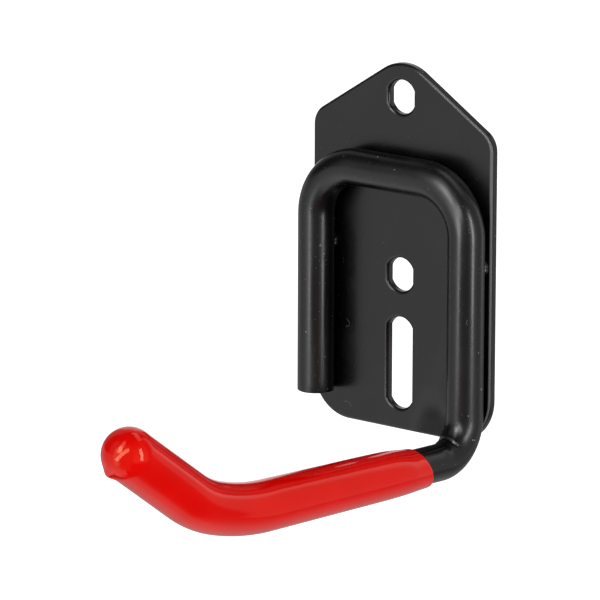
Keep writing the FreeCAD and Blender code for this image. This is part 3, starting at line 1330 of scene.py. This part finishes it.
@dataclass(frozen=True)
class SoftBox:
    """A rectangular studio lamp that faces the hook, its sizes in metres and its angles in degrees."""

    name: str
    azimuth: float
    elevation: float
    distance: float
    width: float
    height: float
    lean: float
    radiance: float

    def build(self, middle: Vector) -> None:
        """Place the lamp.

        Args:
            middle: Point that the lamp faces, in metres.
        """
        data = bpy.data.lights.new(self.name, "AREA")
        data.shape = "RECTANGLE"
        data.size = self.width
        data.size_y = self.height
        data.energy = self.radiance * math.pi * self.width * self.height
        lamp = add_object(self.name, data)
        towards = direction(self.azimuth, self.elevation)
        lean = Matrix.Rotation(math.radians(self.lean), 3, "Z").to_quaternion()
        lamp.location = middle + towards * self.distance
        lamp.rotation_mode = "QUATERNION"
        lamp.rotation_quaternion = towards.to_track_quat("Z", "Y") @ lean


@dataclass(frozen=True)
class Patch:
    """A brighter part of the room round the hook, with soft edges and its angles in degrees."""

    name: str
    azimuth: float
    half_width: float
    elevations: tuple[float, float]
    soft: tuple[float, float]
    low_level: float
    high_level: float

    def level(self, sheet: NodeSheet, azimuth: bpy.types.NodeSocket,
              elevation: bpy.types.NodeSocket) -> bpy.types.NodeSocket:
        """Add the nodes of the patch.

        Args:
            sheet: World's node sheet.
            azimuth: A direction's azimuth from -Y towards +X, in degrees.
            elevation: Its elevation, in degrees.

        Returns:
            The patch's level in that direction.
        """
        low, high = self.elevations
        aside, above = self.soft
        level = sheet.ramp(elevation, low, high, self.low_level, self.high_level)
        offset = sheet.math("SUBTRACT", azimuth, self.azimuth)
        away = sheet.math("ABSOLUTE", sheet.math("WRAP", offset, 180.0, -180.0))
        masks = (sheet.ramp(away, self.half_width + aside, self.half_width - aside),
                 sheet.ramp(elevation, low - above, low + above),
                 sheet.ramp(elevation, high + above, high - above))
        for mask in masks:
            level = sheet.math("MULTIPLY", level, mask)
        level.node.label = self.name
        return level


@dataclass(frozen=True)
class SidePanel:
    """A pale card close to the hook's right, which shows in the gloss only."""

    x: float = 150.0
    y_range: tuple[float, float] = (38.0, 400.0)
    z_range: tuple[float, float] = (-155.0, 300.0)
    grade: tuple[float, float] = (140.0, 250.0)
    levels: tuple[float, float] = (0.50, 1.05)

    def build(self) -> None:
        """Build the card upright and square to X, brighter towards its far side."""
        material, sheet, shader = studio_finish("side_panel", (0.0, 0.0, 0.0))
        place = sheet.add("ShaderNodeTexCoord").outputs["Object"]
        back = sheet.add("ShaderNodeSeparateXYZ", {0: place}).outputs["Y"]
        start, end = self.grade
        sheet.join(sheet.ramp(back, start * MM, end * MM, *self.levels), shader.inputs["Emission Strength"])
        (near, far), (low, high) = self.y_range, self.z_range
        corners = [(self.x, near, low), (self.x, far, low), (self.x, far, high), (self.x, near, high)]
        panel = add_card("side_panel", [tuple(Vector(corner) * MM) for corner in corners], material)
        for ray in ("camera", "diffuse", "shadow", "transmission"):
            setattr(panel, "visible_" + ray, False)


@dataclass
class Studio:
    """Pale floor, white background, softboxes and the room that shows in the gloss."""

    floor_drop: float = 0.55
    floor_half: float = 6.0
    floor_colour: Colour = (0.8, 0.8, 0.8)
    floor_roughness: float = 0.9
    floor_lift: float = 0.8
    floor_glow: float = 0.35
    lamps_aim: Place = (0.0, -0.04, -0.02)
    ambient: tuple[float, float] = (0.61, 0.56)
    ambient_rise: float = 70.0
    room: float = 0.065
    boxes: tuple[SoftBox, ...] = (
        SoftBox("key_strip", 12.5, 9.5, 0.70, 0.150, 0.840, -44.0, 6.2),
        SoftBox("side_strip", 84.0, 6.0, 0.55, 0.110, 0.400, 0.0, 9.2),
        SoftBox("back_strip", 133.8, 69.2, 0.42, 0.322, 0.132, 39.3, 1.39),
    )
    patches: tuple[Patch, ...] = (
        Patch("key_top", 4.0, 11.0, (46.0, 66.0), (7.0, 7.0), 2.80, 2.80),
        Patch("fill_front", 0.0, 50.0, (-53.2, 52.5), (7.5, 8.7), 0.22, 0.40),
        Patch("fill_left", -53.0, 51.0, (-52.0, 3.8), (8.6, 2.0), 0.78, 0.42),
        Patch("halo", -11.0, 13.0, (-30.0, 31.0), (7.5, 6.0), 1.00, 1.60),
        Patch("key_middle", -1.0, 9.0, (20.0, 44.0), (5.0, 6.0), 11.0, 11.0),
        Patch("backdrop", 134.0, 81.0, (-15.2, 39.9), (6.0, 4.0), 0.04, 0.10),
        Patch("behind_high", 135.0, 23.0, (42.3, 45.3), (9.8, 1.3), 0.58, 0.00),
        Patch("behind_left", -136.0, 43.0, (-35.4, 61.4), (8.9, 1.0), 0.04, 0.30),
        Patch("floor_behind", 195.0, 52.0, (-84.3, 4.6), (20.0, 19.9), 0.70, 0.13),
        Patch("floor_front", -24.0, 47.0, (-68.9, -41.6), (4.5, 19.9), 1.92, 0.38),
        Patch("right_low", 90.0, 34.0, (-20.0, 57.0), (14.0, 8.0), 0.72, 0.12),
        Patch("window", -143.0, 17.0, (-14.0, 45.0), (5.0, 3.0), 0.80, 0.60),
    )

    def build(self) -> None:
        """Set the view, and build the room, the floor, the panel and the lamps."""
        bpy.context.scene.view_settings.view_transform = "Standard"
        self.build_room()
        self.build_floor()
        SidePanel().build()
        for box in self.boxes:
            box.build(Vector(self.lamps_aim))

    def build_room(self) -> None:
        """Paint the world: white to the camera and through glass, the room in gloss, even otherwise."""
        world = bpy.data.worlds.new("studio")
        bpy.context.scene.world = world
        world.use_nodes = True
        sheet = NodeSheet(world.node_tree)
        back = world.node_tree.nodes["Background"]
        seen = sheet.add("ShaderNodeTexCoord").outputs["Generated"]
        parts = sheet.add("ShaderNodeSeparateXYZ", {0: seen}).outputs
        ahead = sheet.math("MULTIPLY", parts["Y"], -1.0)
        azimuth = sheet.math("DEGREES", sheet.math("ARCTAN2", parts["X"], ahead))
        elevation = sheet.math("DEGREES", sheet.math("ARCSINE", parts["Z"]))
        room: Any = self.room
        for patch in self.patches:
            room = sheet.math("ADD", room, patch.level(sheet, azimuth, elevation))
        even = sheet.ramp(elevation, 0.0, self.ambient_rise, *self.ambient)
        glossy = sheet.add("ShaderNodeLightPath").outputs["Is Glossy Ray"]
        lit = sheet.mix(glossy, even, room)
        sheet.join(sheet.mix(sheet.seen_by_camera(), lit, 1.0), back.inputs["Strength"])
        back.inputs["Color"].default_value = (1.0, 1.0, 1.0, 1.0)

    def build_floor(self) -> None:
        """Build the floor: plain and pale, lifted to white for the camera, with the hook's shadow kept."""
        material, sheet, shader = studio_finish("floor", self.floor_colour)
        shader.inputs["Roughness"].default_value = self.floor_roughness
        diffuse = sheet.add("ShaderNodeLightPath").outputs["Is Diffuse Ray"]
        seen = sheet.math("MULTIPLY", sheet.seen_by_camera(), self.floor_lift)
        glow = sheet.math("MULTIPLY_ADD", diffuse, self.floor_glow, seen)
        sheet.join(glow, shader.inputs["Emission Strength"])
        half, drop = self.floor_half, -self.floor_drop
        corners = [(-half, -half, drop), (half, -half, drop), (half, half, drop), (-half, half, drop)]
        floor = add_card("floor", corners, material)
        floor.visible_glossy = False


@dataclass(frozen=True)
class PhotoCamera:
    """The camera at the photograph's place."""

    azimuth: float = 40.0
    elevation: float = 13.095
    roll: float = 0.2096
    target: Place = (-35.199, -2.3, -36.486)
    distance: float = 1633.078
    lens: float = 360.0
    sensor: float = 36.0
    clip: tuple[float, float] = (0.01, 50.0)

    def build(self) -> None:
        """Make the scene's camera."""
        data = bpy.data.cameras.new("photo_camera")
        data.lens = self.lens
        data.sensor_width = self.sensor
        data.clip_start, data.clip_end = self.clip
        back = direction(self.azimuth, self.elevation)
        right = Vector((math.cos(math.radians(self.azimuth)), math.sin(math.radians(self.azimuth)), 0.0))
        up = back.cross(right)
        turn, lean = math.cos(math.radians(self.roll)), math.sin(math.radians(self.roll))
        axes = Matrix((right * turn + up * lean, up * turn - right * lean, back)).transposed()
        place = (Vector(self.target) + back * self.distance) * MM
        camera = add_object("photo_camera", data)
        camera.matrix_world = Matrix.Translation(place) @ axes.to_4x4()
        bpy.context.scene.camera = camera


def hand_over(piece: bpy.types.Object, node: Node) -> None:
    """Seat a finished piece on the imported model.

    Args:
        piece: The piece.
        node: Node that it stands for.
    """
    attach(piece, "root")
    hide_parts(node.value)
    LOG.info("%s: %d faces, stands for %s", piece.name, len(piece.data.polygons), node.value)


def main() -> None:
    """Build the camera, the studio and the hook's four pieces."""
    logging.basicConfig(level=logging.INFO, format="%(name)s: %(message)s")
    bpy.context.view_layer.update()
    PhotoCamera().build()
    Studio().build()
    bead_coat = PowderCoat().build()
    # The plate's coat carries a painted highlight along its rolled front edge, right of the middle.
    plate_coat = PowderCoat(strokes=PLATE_FIBRES, stains=PLATE_STAINS, painted_edge_highlight=0.42).build()
    tube_coat = PowderCoat(streak_depth=0.010, strokes=TUBE_SCRATCHES).build()
    vinyl = DippedVinyl().build()
    tube = HookTube()
    sleeve = GripSleeve()
    line = tube.centre_line(sleeve.tip_radius)
    tree = WrapTree(line)
    tube_drawing = tube.drawing(line, line.length - sleeve.tube_end_cover)
    bead_drawing = WeldBeads().drawing(line)
    hand_over(WallPlate().build(plate_coat), Node.PLATE)
    hand_over(tree.wrap("bent_tube", tube_drawing, tube_coat), Node.TUBE)
    hand_over(tree.wrap("tack_and_seam_beads", bead_drawing, bead_coat), Node.BEADS)
    hand_over(tree.wrap("dipped_sleeve", sleeve.drawing(line), vinyl), Node.SLEEVE)
    tree.remove()


if __name__ == "__main__":
    main()
